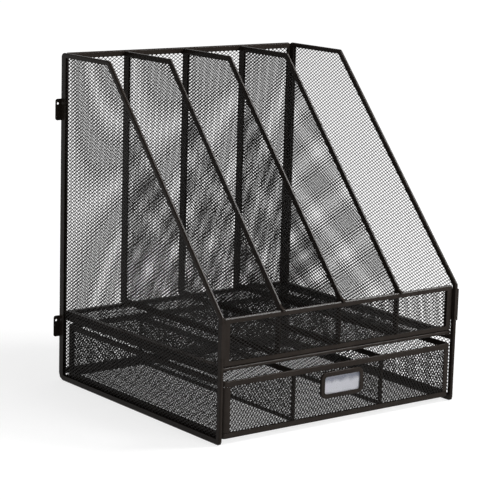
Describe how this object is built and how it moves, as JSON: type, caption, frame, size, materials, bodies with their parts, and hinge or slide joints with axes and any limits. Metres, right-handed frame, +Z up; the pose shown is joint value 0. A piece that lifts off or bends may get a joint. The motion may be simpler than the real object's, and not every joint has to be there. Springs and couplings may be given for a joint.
{
  "type": "mesh desk file sorter with drawer",
  "caption": "Black steel mesh desk sorter: upright sections with sloping dividers on a lipped shelf, over a sliding divided drawer with a label holder.",
  "frame": {"origin": "on the desk, in the middle of the base", "axes": "+Z up, +Y to the rear, so that the drawer opens towards -Y"},
  "size_m": [0.3314, 0.304, 0.365],
  "materials": {
    "black_steel": "satin powder coat, warm black",
    "black_mesh": "satin powder coat on expanded steel",
    "clear_plastic": "clear glossy plastic film",
    "white_card": "plain matt card"
  },
  "bodies": {
    "stand": {"left_side_frame": "black_steel", "left_side_mesh": "black_mesh", "right_side_frame": "black_steel", "right_side_mesh": "black_mesh", "back_frame": "black_steel", "back_mesh": "black_mesh", "shelf_frame": "black_steel", "shelf_mesh": "black_mesh", "lip_frame": "black_steel", "lip_mesh": "black_mesh", "divider_1_frame": "black_steel", "divider_1_mesh": "black_mesh", "divider_2_frame": "black_steel", "divider_2_mesh": "black_mesh", "divider_3_frame": "black_steel", "divider_3_mesh": "black_mesh", "divider_1_hook": "black_steel", "divider_2_hook": "black_steel", "divider_3_hook": "black_steel", "left_lip_clip": "black_steel", "right_lip_clip": "black_steel", "left_lower_ear": "black_steel", "left_upper_ear": "black_steel", "left_runner": "black_steel", "left_shelf_rail": "black_steel", "right_lower_ear": "black_steel", "right_upper_ear": "black_steel", "right_runner": "black_steel", "right_shelf_rail": "black_steel"},
    "drawer": {"drawer_front_top_rim": "black_steel", "drawer_right_top_rim": "black_steel", "drawer_rear_top_rim": "black_steel", "drawer_left_top_rim": "black_steel", "drawer_front_base_rim": "black_steel", "drawer_right_base_rim": "black_steel", "drawer_rear_base_rim": "black_steel", "drawer_left_base_rim": "black_steel", "drawer_front_left_corner": "black_steel", "drawer_front_right_corner": "black_steel", "drawer_rear_right_corner": "black_steel", "drawer_rear_left_corner": "black_steel", "drawer_front_mesh": "black_mesh", "drawer_back_mesh": "black_mesh", "drawer_left_mesh": "black_mesh", "drawer_right_mesh": "black_mesh", "drawer_floor_mesh": "black_mesh", "drawer_left_divider_frame": "black_steel", "drawer_left_divider_mesh": "black_mesh", "drawer_right_divider_frame": "black_steel", "drawer_right_divider_mesh": "black_mesh", "label_frame": "black_steel", "label_card": "white_card", "label_window": "clear_plastic"}
  },
  "joints": [
    {"name": "drawer_slide", "type": "slide", "parent": "stand", "child": "drawer", "axis": [0, -1, 0], "range_m": [0, 0.2]}
  ]
}
